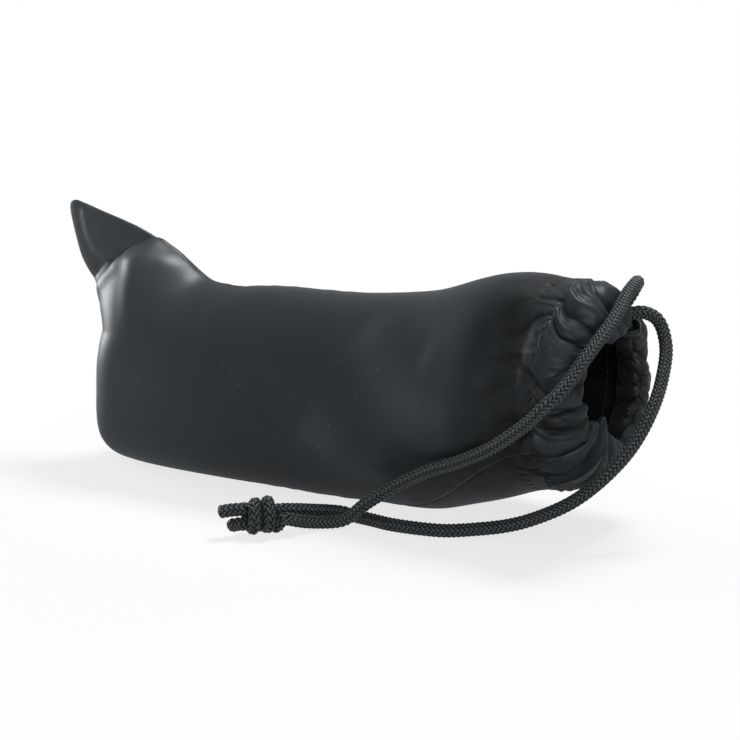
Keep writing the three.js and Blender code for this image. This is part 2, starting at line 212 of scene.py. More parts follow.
def smooth(x, first, last):
    """0 before first, 1 after last, and a smooth rise between them."""
    t = np.clip((np.asarray(x, float) - first) / (last - first), 0, 1)
    return t * t * (3 - 2 * t)


def in_knot(along, across, up):
    """A point given along the knot towards its tails, across it to the front, and up."""
    c, s = math.cos(knot_heading), math.sin(knot_heading)
    x = knot_middle.x + along * c - across * s
    y = knot_middle.y + along * s + across * c
    return [x, y, knot_middle.z + up]


def round_knot(turn):
    """Points from distances along the knot, degrees from its top towards the front, and radii."""
    points = []
    for along, degrees, radius in turn:
        angle = math.radians(degrees)
        points.append(in_knot(along, radius * math.sin(angle), radius * math.cos(angle)))
    return points


def tail(height, length, across, up):
    """A cut end, straight out of the knot and then leaning the way it was left."""
    return [
        in_knot(knot_end + 0.35 * length, 0, height),
        in_knot(knot_end + 0.65 * length, 0.3 * across, height + 0.3 * up),
        in_knot(knot_end + length, across, height + up),
    ]


upper_turn = [
    (-6.1, -72, 2.05),
    (-5.3, -72, 2.05),
    (-3.2, -70, 2.05),
    (-1.0, -60, 2.2),
    (1.0, -35, 2.7),
    (2.2, 5, 3.4),
    (2.6, 48, 3.55),
    (2.7, 90, 3.55),
    (2.8, 135, 3.4),
    (3.0, 180, 3.1),
    (3.3, 230, 2.9),
    (3.8, 285, 2.5),
    (4.4, 335, 2.1),
    (5.1, 360, 2.05),
    (6.1, 360, 2.05),
]
lower_turn = [
    (-6.1, 113, 2.05),
    (-5.2, 113, 2.05),
    (-4.4, 135, 2.5),
    (-3.8, 172, 3.2),
    (-3.1, 225, 3.55),
    (-2.4, 275, 3.55),
    (-1.8, 325, 3.55),
    (-1.3, 372, 3.55),
    (-1.2, 415, 3.55),
    (-1.2, 458, 3.55),
    (-1.0, 500, 3.3),
    (0.2, 530, 2.6),
    (2.2, 542, 2.1),
    (5.1, 540, 2.05),
    (6.1, 540, 2.05),
]
front_route = [
    (85.5, 15.4, 59.0),
    (87.3, 17.2, 63.6),
    (89.6, 15.2, 66.6),
    (91.1, 10.2, 67.0),
    (92.4, 2.6, 65.3),
    (94.2, -7.6, 61.2),
    (93.4, -20.8, 53.8),
    (90.0, -29.0, 45.2),
    (86.3, -31.7, 40.9),
    (82.3, -31.8, 36.7),
    (71.5, -31.0, 28.5),
    (60.4, -29.5, 22.6),
    (49.3, -29.0, 17.9),
    (38.8, -30.2, 11.8),
    (32.0, -32.6, 6.8),
    (28.3, -33.3, 3.4),
    (25.9, -34.6, 2.1),
    (23.6, -37.2, 2.0),
    (21.3, -40.7, 2.5),
    (19.3, -44.6, 3.4),
]
outer_route = [
    (88.3, 11.8, 58.4),
    (91.5, 15.0, 58.6),
    (94.7, 17.6, 56.4),
    (97.9, 16.4, 50.4),
    (100.7, 8.7, 42.2),
    (101.7, -0.2, 34.5),
    (99.7, -7.6, 26.3),
    (95.1, -14.6, 19.0),
    (88.1, -18.8, 12.6),
    (77.7, -22.0, 7.1),
    (71.0, -23.5, 4.8),
    (64.1, -25.0, 3.3),
    (54.8, -27.6, 2.0),
    (46.7, -29.4, 1.9),
    (38.7, -29.9, 1.9),
    (32.3, -28.9, 1.9),
    (26.6, -28.4, 2.0),
    (23.4, -30.0, 2.9),
    (21.0, -33.2, 3.7),
    (19.1, -37.4, 4.6),
    (16.9, -41.8, 5.5),
]
ring_start = mouth_twist + exit_half_angle
ring_end = mouth_twist - exit_half_angle + 2 * math.pi
ring_route = []
for angle in np.linspace(ring_start, ring_end, ring_points):
    height = mouth_height + ring_radius * math.cos(angle)
    ring_route.append((ring_x, ring_radius * math.sin(angle), height))

# The stretches in their order along the cord, from one cut end to the other
stretches = [
    ("lower_tail", tail(-strand_radius, 3.2, 0.6, -0.4)[::-1]),
    ("lower_turn", round_knot(lower_turn)[::-1]),
    ("front_strand", front_route[::-1]),
    ("drawstring", ring_route),
    ("outer_strand", outer_route),
    ("upper_turn", round_knot(upper_turn)),
    ("upper_tail", tail(strand_radius, 5.8, -0.4, -0.5)),
]


def through(points, step):
    """A smooth line through the points, and the place in it of each point."""
    p = np.array(points, float)
    p = np.concatenate([[2 * p[0] - p[1]], p, [2 * p[-1] - p[-2]]])
    line, places = [], []
    for i in range(1, len(p) - 2):
        gaps = [np.linalg.norm(p[j + 1] - p[j]) for j in range(i - 1, i + 2)]
        knots = np.cumsum([0] + [gap ** 0.5 for gap in gaps])
        count = max(2, round(float(gaps[1]) / step))
        t = np.linspace(knots[1], knots[2], count, endpoint=False)[:, None]
        legs = []
        for j in range(3):
            a, b = knots[j], knots[j + 1]
            legs.append((b - t) / (b - a) * p[i - 1 + j] + (t - a) / (b - a) * p[i + j])
        bends = []
        for j in range(2):
            a, b = knots[j], knots[j + 2]
            bends.append((b - t) / (b - a) * legs[j] + (t - a) / (b - a) * legs[j + 1])
        a, b = knots[1], knots[2]
        places.append(sum(len(run) for run in line))
        line.append((b - t) / (b - a) * bends[0] + (t - a) / (b - a) * bends[1])
    places.append(sum(len(run) for run in line))
    line.append(p[-2:-1])
    return np.concatenate(line), places


cord_line, places = through([p for _, points in stretches for p in points], cord_step)
tangents = np.gradient(cord_line, axis=0)
tangents /= np.linalg.norm(tangents, axis=1)[:, None]
along_cord = np.concatenate([[0], np.cumsum(np.linalg.norm(np.diff(cord_line, axis=0), axis=1))])

# A side direction carried along the cord without twist
sides = [np.cross(tangents[0], (0, 0, 1))]
for t in tangents[1:]:
    kept = sides[-1] - t * (sides[-1] @ t)
    sides.append(kept / np.linalg.norm(kept))
sides = np.array(sides)
sides /= np.linalg.norm(sides, axis=1)[:, None]
ups = np.cross(tangents, sides)


def normalised(vectors):
    return vectors / np.maximum(np.linalg.norm(vectors, axis=-1, keepdims=True), 1e-12)


def tube_faces(base, rings, around):
    """The faces of a closed tube whose rings of vertices follow each other from base on."""
    faces = []
    for i in range(rings - 1):
        for j in range(around):
            a, b = base + i * around + j, base + i * around + (j + 1) % around
            faces.append((a, b, b + around, a + around))
    faces.append(tuple(base + j for j in range(around))[::-1])
    faces.append(tuple(base + (rings - 1) * around + j for j in range(around)))
    return faces


def braid_parts(first, last, stride=1):
    """All the yarns and the core between two places on the cord: their vertices, their faces, and for
    each vertex its length along the cord and its height on the yarn, from -1 to 1."""
    rows = np.arange(first, last + 1, stride)
    rows[-1] = last
    middle, side, up, run = cord_line[rows], sides[rows], ups[rows], along_cord[rows]
    from_ends = np.minimum(run, along_cord[-1] - run)
    rounding = np.sqrt(np.clip(1 - (1 - np.minimum(from_ends, melted_end) / melted_end) ** 2, 0.02, 1))
    over_radius = cord_diameter / 2 - yarn_height / 2
    under_radius = over_radius - yarn_dive * yarn_height
    crossing = math.pi / yarns_each_way  # angle between neighbouring crossings
    section = np.linspace(0, 2 * math.pi, yarn_sides, endpoint=False) + math.pi / 2
    vertices, faces, lengthwise, raised_share = [], [], [], []
    for turning in (1, -1):
        for k in range(yarns_each_way):
            start = 2 * crossing * k + (crossing if turning < 0 else 0)
            angle = start + turning * 2 * math.pi * run / (yarns_each_way * stitch_pitch)
            swing = turning * np.sin(angle / crossing * math.pi / 2)
            on_top = np.clip(1.5 * swing, -1, 1) * 0.5 + 0.5
            radius = (under_radius + (over_radius - under_radius) * on_top) * rounding
            outward = np.cos(angle)[:, None] * side + np.sin(angle)[:, None] * up
            path = middle + radius[:, None] * outward
            heading = normalised(np.gradient(path, axis=0))
            raised = normalised(outward - heading * (outward * heading).sum(1, keepdims=True))
            flat = np.cross(heading, raised)
            width = yarn_width * (1 - yarn_pinch + yarn_pinch * on_top) * np.sqrt(rounding)
            across = 0.5 * width[:, None, None] * np.cos(section)[None, :, None] * flat[:, None]
            upright = 0.5 * yarn_height * np.sin(section)[None, :, None] * raised[:, None]
            faces += tube_faces(sum(len(v) for v in vertices), len(run), yarn_sides)
            vertices.append((path[:, None] + across + upright).reshape(-1, 3))
            # each yarn starts at a length of its own, so that its filaments differ
            lengthwise.append(np.repeat(run + 3.7 * k, yarn_sides))
            raised_share.append(np.tile(np.sin(section), len(run)))
    turn = np.linspace(0, 2 * math.pi, core_sides, endpoint=False)
    outward = np.cos(turn)[None, :, None] * side[:, None] + np.sin(turn)[None, :, None] * up[:, None]
    core = middle[:, None] + (core_radius * rounding)[:, None, None] * outward
    faces += tube_faces(sum(len(v) for v in vertices), len(run), core_sides)
    vertices.append(core.reshape(-1, 3))
    lengthwise.append(np.repeat(run, core_sides))
    # The core's height is set to -1, which paints it near black as shade between the yarns
    raised_share.append(np.full(len(run) * core_sides, -1.0))
    return np.concatenate(vertices), faces, np.concatenate(lengthwise), np.concatenate(raised_share)


def add_piece(name, vertices, faces, material, coordinates=None):
    """A smooth-shaded mesh object from points in millimetres, riding on the pouch."""
    mesh = bpy.data.meshes.new(name)
    mesh.from_pydata((np.asarray(vertices) * MM).tolist(), [], faces)
    if coordinates is not None:
        layer = mesh.uv_layers.new(name="lie")
        corner = np.zeros(len(mesh.loops), np.int32)
        mesh.loops.foreach_get("vertex_index", corner)
        layer.data.foreach_set("uv", np.asarray(coordinates, np.float32)[corner].ravel())
    mesh.polygons.foreach_set("use_smooth", np.ones(len(mesh.polygons), bool))
    mesh.materials.append(material)
    mesh.update()
    piece = bpy.data.objects.new(name, mesh)
    bpy.context.scene.collection.objects.link(piece)
    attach(piece, "root")
    return piece


def ramp(tree, factor, first_at, first, last_at, last):
    """The colour of a ramp between two colours, driven by an output of a node."""
    shades = add_node(tree, "ValToRGB")
    low_end, high_end = shades.color_ramp.elements
    low_end.position, low_end.color = first_at, first
    high_end.position, high_end.color = last_at, last
    tree.links.new(factor, shades.inputs["Fac"])
    return shades.outputs["Color"]


def with_gloss(tree, skin, relief, share, colour, roughness):
    """Lays a glossy share that varies over the surface on the skin, with the same relief."""
    gloss = add_node(tree, "BsdfGlossy", {"Color": colour, "Roughness": roughness})
    tree.links.new(relief, gloss.inputs["Normal"])
    tree.links.new(relief, skin.inputs["Normal"])
    tree.links.new(mixed(tree, share, skin, gloss), tree.nodes["Material Output"].inputs["Surface"])


# Polyester yarn: near black, with fine filaments that run along each yarn and glint at its crest. The
# piece's "lie" holds the length along the cord and the height on the yarn. Painted shade: the colour
# falls to near black down each yarn's sides and on the core and the knot's filling, and the glossy share
# falls with it.
yarn = bpy.data.materials.new("cord_yarn")
yarn.use_nodes = True
tree = yarn.node_tree
skin = tree.nodes["Principled BSDF"]
skin.inputs["Roughness"].default_value = 0.5
skin.inputs["Specular IOR Level"].default_value = 0.08
skin.inputs["Sheen Weight"].default_value = 0.05
skin.inputs["Sheen Roughness"].default_value = 0.5
lie = add_node(tree, "UVMap", uv_map="lie")
parts_of = add_node(tree, "SeparateXYZ")
stretch = add_node(tree, "Mapping", {"Scale": (0.55, 5, 1)})
filaments = add_node(tree, "TexNoise", {"Scale": 1, "Detail": 3})
tree.links.new(lie.outputs["UV"], parts_of.inputs["Vector"])
tree.links.new(lie.outputs["UV"], stretch.inputs["Vector"])
tree.links.new(stretch.outputs["Vector"], filaments.inputs["Vector"])
filament = filaments.outputs["Fac"]
dark_filament, light_filament = (0.013, 0.016, 0.0175, 1), (0.044, 0.052, 0.056, 1)
shades = ramp(tree, filament, 0.3, dark_filament, 0.75, light_filament)
# Painted shade: away from the yarn's crest the colour is mixed into near black, most on the core and the
# knot's filling
crest = add_node(
    tree, "MapRange", {"From Min": 0.35, "From Max": 1, "To Min": 0.12, "To Max": 1},
    interpolation_type="SMOOTHSTEP")
tree.links.new(parts_of.outputs["Y"], crest.inputs["Value"])
shaded = add_node(tree, "Mix", {"A": (0.001, 0.001, 0.0015, 1)}, data_type="RGBA")
tree.links.new(crest.outputs["Result"], shaded.inputs["Factor"])
tree.links.new(shades, shaded.inputs["B"])
tree.links.new(shaded.outputs["Result"], skin.inputs["Base Color"])
grooves = add_node(tree, "Bump", {"Strength": 0.5, "Distance": 0.0001})
tree.links.new(filament, grooves.inputs["Height"])
glint = add_node(tree, "MapRange", {"From Min": 0.3, "To Min": 0.001, "To Max": 0.028})
tree.links.new(parts_of.outputs["Y"], glint.inputs["Value"])
with_gloss(tree, skin, grooves.outputs["Normal"], glint.outputs["Result"], (0.88, 0.96, 1, 1), 0.36)

ends = {}
reached = 0
for name, points in stretches:
    ends[name] = (places[reached], places[min(reached + len(points), len(places) - 1)])
    reached += len(points)
for name in ("lower_tail", "front_strand", "drawstring", "outer_strand", "upper_tail"):
    stride = 2 if name == "drawstring" else 1
    vertices, faces, lengthwise, height = braid_parts(*ends[name], stride)
    lie_of = np.stack([lengthwise, height], 1)
    add_piece(name + "_braid", vertices, faces, yarn, lie_of)
    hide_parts(name)

parts = [braid_parts(*ends[name]) for name in ("lower_turn", "upper_turn")]
vertices = np.concatenate([part[0] for part in parts])
offset = len(parts[0][0])
faces = parts[0][1] + [tuple(i + offset for i in face) for face in parts[1][1]]
lie_of = np.concatenate([np.stack([part[2], part[3]], 1) for part in parts])

# The two strands packed together inside the wraps, seen only between them, and painted near black as
# shade by a height of -1
around = np.linspace(0, 2 * math.pi, filling_sides, endpoint=False)
for k, place_along in enumerate(np.linspace(-filling_end, filling_end, filling_rings)):
    radius = filling_radius * math.sqrt(1 - (place_along / filling_half) ** 2)
    ring = [in_knot(place_along, radius * math.sin(a), radius * math.cos(a)) for a in around]
    base = len(vertices)
    vertices = np.concatenate([vertices, ring])
    lie_of = np.concatenate([lie_of, np.full((len(around), 2), -1.0)])
    if k > 0:
        for i in range(len(around)):
            n = (i + 1) % len(around)
            faces.append((base + i, base + n, base + n - len(around), base + i - len(around)))
knot = add_piece("knot_braid", vertices, faces, yarn, lie_of)
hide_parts("knot")

for name, far_first in (("front_strand", True), ("outer_strand", False)):
    first, last = ends[name]
    path = cord_line[first:last + 1] * MM
    if far_first:
        path = path[::-1]


# The cloth. Two panels of microfibre, sewn along the top, the closed end and the bottom. Filled, the
# pouch lies on its long edge; its sewn corner stands up as an ear, and the cord gathers its mouth.
# First comes the middle of the whole cloth, then its creases and folds, and last its fabric.

cloth_thickness = 0.6
body_length = 156
body_height = 58
body_depth = 51
end_rounding = 18
bottom_end_rounding = 9  # the closed end is squarer where it lies on the table
widest_share = 0.46  # of the height, where the filled pouch is widest
rest_sink = 1.2
flat_bottom_power = 0.8  # a lower half under 1 is fuller than a round one, and over 1 slimmer
drawn_bottom_power = 1.2
narrow_from = 0.45  # share of the length from which the lower half is drawn in
round_from = 0.7  # share of the length from which the section turns round towards the mouth
mouth_bulge = 2

ear_rise = 21
ear_reach = 18
ear_corner = 3
ear_length = 46
ear_curve = 1.7  # of the top seam's fall from the tip
ear_foot_share = 0.71  # of the height, where the closed end starts to lean out to the ear
flap_half = 1.7  # half the thickness of the empty corner that stands up
flap_from = 0.3  # shares of the shoulder's height between which the flap takes over from it
flap_full = 0.8
flap_blend = 3  # width of the soft corner between the two
shoulder_rise = 7  # the filled cloth under the ear stands this far over the body
shoulder_at = 20
shoulder_half = 9
shoulder_end_drop = 3.5
shoulder_end_half = 5
back_steepness = 0.62  # of the shoulder behind the flap
heel_share = 0.22  # of the height, under which the closed end's heel starts
heel_reach = 1
heel_lift = 1.6
end_swell = 0.8  # the closed end is filled out this far, most of all at end_belly_at
end_belly = 0.5
end_belly_at = 41
end_waist = 1.6  # and is drawn in this far under the shoulder
end_waist_at = 57

casing_width = 15
casing_slope = math.radians(50)
half_casing = casing_width / 2
hem_half_height = 2.9
notch_depth = 5.25
inner_notch_share = 0.35
lip_drawn_in = 2
lip_wander = 1.3
hem_sway = 1.1
low_side_at = -2.62  # the place round the mouth, in radians, where the hem is pulled out furthest
low_side_pull = 9
low_side_tilt = math.radians(22)
top_side_at = -0.1
top_side_pull = 3
seam_drift = 0.16  # the bottom seam is drawn to the front at the mouth, as a share of a panel
stitch_radius = ring_radius + half_casing * math.sin(casing_slope)
cord_plane = body_length + half_casing * math.cos(casing_slope)
cloth_shift = ring_x - cord_plane  # from lengths along the pouch to places in the frame

# Profile of the filled pouch from its closed end, as shares of its length, height and depth
stations = np.array([0, 0.12, 0.23, 0.36, 0.52, 0.68, 0.84, 1])
profile = {
    "top": np.array([0.97, 1.03, 0.95, 0.98, 0.995, 1.04, 1.145, 1.2]),
    "low": np.array([0, 0, 0, 0, 0, 0, 0.03, 0.12]),
    "wide": np.array([0.98, 0.97, 0.98, 1, 0.99, 1.01, 1.01, 1]),
}


def profile_at(share, key):
    """The profile's value at a share of the length, by a smooth curve through its stations."""
    values = profile[key]
    i = int(np.clip(np.searchsorted(stations, share), 1, len(stations) - 1))
    span = stations[i] - stations[i - 1]

    def steepness(k):
        before, after = max(k - 1, 0), min(k + 1, len(stations) - 1)
        return (values[after] - values[before]) / (stations[after] - stations[before]) * span

    t = np.clip((share - stations[i - 1]) / span, 0, 1)
    return (2 * t**3 - 3 * t**2 + 1) * values[i - 1] + (t**3 - 2 * t**2 + t) * steepness(i - 1) \
        + (3 * t**2 - 2 * t**3) * values[i] + (t**3 - t**2) * steepness(i)


def rounded_off(along, radius):
    return math.sqrt(np.clip(1 - (1 - min(along, radius) / radius) ** 2.5, 0, 1))


def mix_of(a, b, t):
    return a + (b - a) * t


def hump(x, at, half_width):
    """A smooth hump of height 1, which has fallen to about a third at half its width."""
    return np.exp(-(((x - at) / half_width) ** 2))


def fade(x, length):
    """1 at 0, falling to about a third over each length."""
    return np.exp(-x / length)


def with_ear(along, ear, body_top, plain_top, middle, z, sine, half, out):
    """The half widths of one ring of the body near the closed end, above its middle. The empty corner
    is a thin flap that stands on a filled shoulder, steeper at the back."""
    shoulder = plain_top + shoulder_rise * hump(along, shoulder_at, shoulder_half)
    shoulder = min(shoulder - shoulder_end_drop * hump(along, 0, shoulder_end_half), body_top - 0.02)
    standing = float(smooth(body_top - shoulder, 0, 4))
    share_up = np.clip((z - middle) / (shoulder - middle), 0, 1)
    filled = half * (1 - share_up**2) ** (0.5 + 0.12 * min(1, 2 * ear))
    up = smooth(share_up, flap_from, flap_full)
    flap = flap_half * up * standing * np.abs(sine) ** 0.5 * rounded_off(along, 6)
    blend = flap_blend * up * standing * np.clip(3 * np.abs(sine), 0, 1) * rounded_off(along, 8)
    stepped = 0.5 * (filled + flap + np.sqrt((filled - flap) ** 2 + blend**2)) - 0.25 * blend
    steep = 1 - np.abs(sine) ** (1.5 * float(smooth(ear_length - along, -4, 12)))
    at_back = 1 - back_steepness * steep * smooth(share_up, 0, 0.5)
    return np.where(z > middle, np.where(sine < 0, stepped * at_back, stepped), out)


def body_row(along, round_place):
    """Points on the cloth's inner side at one distance from the closed end. The place round the pouch
    goes from 0 at the top seam by the front to 1 at the bottom, and by the back to 2 at the top."""
    share = along / body_length
    round_share = float(smooth(share, round_from, 1))
    ear = max(1 - along / ear_length, 0) ** ear_curve
    tip = ear_corner * (1 - rounded_off(along, ear_corner))
    plain_top = body_height * profile_at(share, "top")
    body_top = plain_top + ear_rise * ear - tip - cloth_thickness
    body_low = body_height * profile_at(share, "low") - rest_sink + cloth_thickness
    round_radius = stitch_radius + mouth_bulge * math.sin(math.pi * round_share)
    top = mix_of(body_top, mouth_height + round_radius, round_share)
    bottom = mix_of(body_low, mouth_height - round_radius, round_share)
    middle = mix_of(widest_share * body_height, mouth_height, round_share)
    body_half = (body_depth / 2 - cloth_thickness) * profile_at(share, "wide")
    half = mix_of(body_half * rounded_off(along, end_rounding), round_radius, round_share)
    narrowing = max(ear**3, float(smooth(share, narrow_from, round_from)))
    lower_power = mix_of(mix_of(flat_bottom_power, drawn_bottom_power, narrowing), 1, round_share)
    early_turn, late_turn = float(smooth(share, 0.22, 0.42)), float(smooth(share, 0.45, 1))
    seam_turn = mouth_twist * (0.45 * early_turn + 0.55 * late_turn)
    half_ring = 360  # points round each panel, before they are spaced evenly
    angle = np.linspace(0, 2 * math.pi, 2 * half_ring + 1) - seam_turn
    c, s = np.cos(angle), np.sin(angle)
    z = middle + np.where(c > 0, top - middle, middle - bottom) * c
    out = half * np.abs(s) ** np.where(c > 0, 1, lower_power)
    square_end = rounded_off(along, bottom_end_rounding) / max(rounded_off(along, end_rounding), 0.01)
    out *= mix_of(1, min(square_end, 1.4), smooth(-c, 0, 0.9))
    if ear > 0:
        out = with_ear(along, ear, body_top, plain_top, middle, z, s, half, out)
    y = -np.sign(s) * out
    steps = np.hypot(np.diff(y), np.diff(z))
    front, back = np.cumsum(steps[:half_ring]), np.cumsum(steps[half_ring:])
    place = np.concatenate([[0], front / front[-1], 1 + back / back[-1]])
    y, z = np.interp(round_place, place, y), np.interp(round_place, place, z)
    z = np.maximum(z, cloth_thickness)

    # The closed end leans out to the ear and the heel, and is drawn in under the shoulder
    near_end = fade(along, end_rounding)
    ear_span = 1 - ear_foot_share + ear_rise / body_height
    upper = np.clip((z / body_height - ear_foot_share) / ear_span, 0, 1)
    lower = np.maximum(0, 1 - z / (heel_share * body_height))
    filled_out = end_swell + end_belly * hump(z, end_belly_at, 6) - end_waist * hump(z, end_waist_at, 7)
    ear_lean = ear_reach * upper**1.25 * (2.4 - 1.4 * upper)
    x = along + near_end * (filled_out + heel_reach * lower**3 - ear_lean)
    z = z + heel_lift * near_end * lower
    return np.stack([x, y, z], 1)


def round_noise(turn, size, seed):
    """Smooth noise from about -1 to 1 round the mouth."""
    return np.array([noise.noise((math.cos(t) * size, math.sin(t) * size, seed)) for t in turn])


def hem_row(past, round_place):
    """Points on the cloth's inner side in the turned hem: out to the lip, and back to the stitches.
    Here w is the share of the way from the stitches to the lip, the same on both layers."""
    outer = past < casing_width
    w = np.clip(past if outer else 2 * casing_width - past, 0, casing_width) / casing_width
    if outer:
        opening = float(smooth(w, 0, notch_depth / casing_width))
        opening *= 1 - 0.65 * float(smooth(w, 0.62, 1))
    else:
        opening = inner_notch_share
    notch = exit_half_angle / math.pi * opening
    on_front = notch + round_place * (1 - notch)
    on_back = 2 - notch - (2 - round_place) * (1 - notch)
    turn = mouth_twist - math.pi * np.where(round_place < 1, on_front, on_back)
    # The lip wanders in and out a little, and so does the whole ring
    lip = lip_wander * round_noise(turn, 3.1, 4.7)
    sway = hem_sway * round_noise(turn, 1.6, 9.1)
    low_side = hump(turn, low_side_at, 0.7)
    pull = low_side_pull * low_side + top_side_pull * hump(turn, top_side_at, 0.5)
    slope = casing_slope + low_side_tilt * low_side * float(smooth(w, 0.4, 1))
    reach = -half_casing * math.cos(math.pi * w) + (lip - lip_drawn_in + pull) * w**2
    height = hem_half_height * math.sin(math.pi * w) ** mix_of(1.4, 1, w)
    height = (height if outer else -height) + sway * w
    x = cord_plane + reach * np.cos(slope) + height * math.sin(casing_slope)
    radius = ring_radius - reach * np.sin(slope) + height * math.cos(casing_slope)
    return np.stack([x, radius * np.sin(turn), mouth_height + radius * np.cos(turn)], 1)


front_columns = 250
back_columns = 250
near_mouth = 26  # length over which the rows before the hem are closer
end_rows = [end_rounding * (1 - math.cos(math.pi / 2 * i / 30)) for i in range(30)]
body_rows = list(np.linspace(end_rounding, body_length - near_mouth, 130, endpoint=False))
near_rows = list(np.linspace(body_length - near_mouth, body_length, 62, endpoint=False))
hem_rows = list(np.linspace(body_length, body_length + 2 * casing_width - 0.6, 84))
alongs = np.array(end_rows + body_rows + near_rows + hem_rows)
body_count = len(alongs) - len(hem_rows)
cloth, places_round = [], []
for along in alongs:
    seam_at = 1 - seam_drift * float(smooth(along / body_length, 0.62, 1))
    front = np.linspace(0, seam_at, front_columns + 1)
    round_place = np.concatenate([front, np.linspace(seam_at, 2, back_columns + 1)[1:]])
    places_round.append(round_place)
    if along < body_length:
        cloth.append(body_row(along, round_place))
    else:
        cloth.append(hem_row(along - body_length, round_place))
cloth, places_round = np.array(cloth), np.array(places_round)


def across_cloth(points):
    """The step from column to column, which carries on over the top seam in the body."""
    step = np.gradient(points, axis=1)
    over_seam = points[:body_count, 1] - points[:body_count, -2]
    step[:body_count, 0] = step[:body_count, -1] = over_seam / 2
    return step


def normals_of(points):
    return normalised(np.cross(across_cloth(points), np.gradient(points, axis=0)))


def noise_at(points, size, seed):
    """Smooth noise from about -1 to 1, with lumps of about that size."""
    flat = points.reshape(-1, 3) / size + seed * 17.3
    return np.array([noise.noise(p) for p in flat.tolist()]).reshape(points.shape[:-1])


# Gathers: creases that run out from the drawstring, wander, fork and die out in the body. Their
# pattern is laid out round a cylinder, stretched along it.
before = np.clip(body_length - alongs, 0, None)[:, None]  # distance before the hem
past = np.clip(alongs - body_length, 0, None)[:, None]  # distance past its start, round its lip
in_front_of_hem = before > 0
hem_place = np.minimum(past, 2 * casing_width - past)
spread = np.where(past > 0, hem_place, -before)
turn = math.pi * places_round
lay_radius = 24
wander = 4.5  # of the creases to either side
short_reach = 5  # lengths over which the gathers fade into the body
long_reach = 14
fine_reach = 2.5
lay = np.stack([
    lay_radius * np.cos(turn),
    lay_radius * np.sin(turn),
    np.broadcast_to(spread, turn.shape),
], 2)
skew = noise_at(lay / (1, 1, 1.2), 9, 11)
lay[:, :, 0] += wander * skew * -np.sin(turn)
lay[:, :, 1] += wander * skew * np.cos(turn)


def creased(size, stretch, seed):
    """Rounded folds from 0 in their sharp creases to about 1, some size apart."""
    return np.clip(1.9 * np.abs(noise_at(lay / (1, 1, stretch), size, seed)) ** 0.75, 0, 1.4)


large, small = creased(8.5, 2.6, 1), creased(2.4, 1.8, 3)
medium = 1 - creased(4.6, 2.0, 2)
near = fade(before, short_reach)
body_lift = large * (0.65 * near + 0.25 * fade(before, long_reach)) + 0.6 * medium * near \
    + 0.25 * small * fade(before, fine_reach) - 0.5 * fade(before, 8)
hem_swell = np.sin(math.pi * hem_place / casing_width) ** 2
hem_lift = large * (0.9 + 1.2 * hem_swell) + 0.6 * medium + 0.25 * small \
    - 0.5 - 0.5 * smooth(hem_place, 0, 3)
lift = np.where(in_front_of_hem, body_lift, hem_lift)

# The hem is pressed in where it lies lowest, and its turned-in layer a little all round
at_bottom = hump(turn, mouth_twist + math.pi, 0.5)
lift -= 0.6 * at_bottom * smooth(past, 0, 3) + 0.4 * smooth(past, casing_width - 2, casing_width + 2)
fold_side = noise_at(lay, 15, 6)

# Painted shade: the cloth's colour is darkened in the creases of the gathers, less on their crests, and
# where the cloth is drawn in before the hem, with a little random unevenness of tone.
plain_nap = 0.62
crease_shade = 0.8
neck_shade = 0.6
nap_unevenness = 0.08
crests = smooth(0.7 * large + 0.3 * small, 0.12, 0.8)
gathered = np.where(in_front_of_hem, fade(before, 9), 1)
neck = hump(before - past, 12, 17)
painted_shade_and_tone = 1 - crease_shade * gathered * (1 - crests) - neck_shade * neck
painted_shade_and_tone += nap_unevenness * noise_at(cloth, 24, 9)
tone_and_painted_light = plain_nap * np.clip(painted_shade_and_tone, 0.05, 1)

# The cloth is pulled smooth over what fills the closed end, and has more shine there
tightness = np.broadcast_to(hump(alongs, 0, 34)[:, None], tone_and_painted_light.shape)

# Two rows of stitches hold the hem and draw the cloth in, thread by thread
stitch_rows = (-0.9, -6.4)
stitch_spacing = 3.1
bite_depth = 0.36
arc = stitch_radius * turn
needle = 0.5 + 0.5 * np.cos(2 * math.pi * arc / stitch_spacing)
uneven = 0.75 + 0.6 * noise_at(lay, 5, 8)
for row in stitch_rows:
    lift -= bite_depth * needle * uneven * hump(alongs[:, None] - body_length, row, 1.1)

# The seams sink in and pucker. Towards the mouth the front panel laps over the back one below
seam_depth = 0.6
pucker = 0.2
ring_lengths = np.linalg.norm(np.diff(cloth, axis=1), axis=2)
run = np.concatenate([np.zeros((len(alongs), 1)), np.cumsum(ring_lengths, axis=1)], 1)
from_bottom_seam = np.abs(run - run[:, front_columns][:, None])
from_top_seam = np.minimum(run, run[:, -1:] - run)
from_end = np.minimum(0.9 * alongs[:, None], 60)
from_seam = np.minimum(np.minimum(from_bottom_seam, from_top_seam), from_end)
lift += pucker * noise_at(cloth, 3.0, 4) * hump(from_seam, 0, 4.5) - seam_depth * hump(from_seam, 0, 0.7)
front_side = np.arange(cloth.shape[1])[None, :] <= front_columns
overlap = np.where(front_side, 0.55, -0.15) * smooth(alongs, 95, 125)[:, None]
lift += overlap * fade(from_bottom_seam, 6)

# Slack in the body's cloth: broad lumps, and long soft folds that fall from the top to the mouth
fold_x, fold_z = 0.86, -0.51  # the direction in which the folds run, in x and z
slanting = np.stack([
    fold_x * cloth[:, :, 0] + fold_z * cloth[:, :, 2],
    cloth[:, :, 1],
    (-fold_z * cloth[:, :, 0] + fold_x * cloth[:, :, 2]) * 3.2,
], 2)
slack = 0.45 * noise_at(cloth, 36, 5)
slack = slack + 0.42 * noise_at(slanting, 42, 7) * smooth(alongs, 40, 90)[:, None]
lift += fade(past, 3) * slack
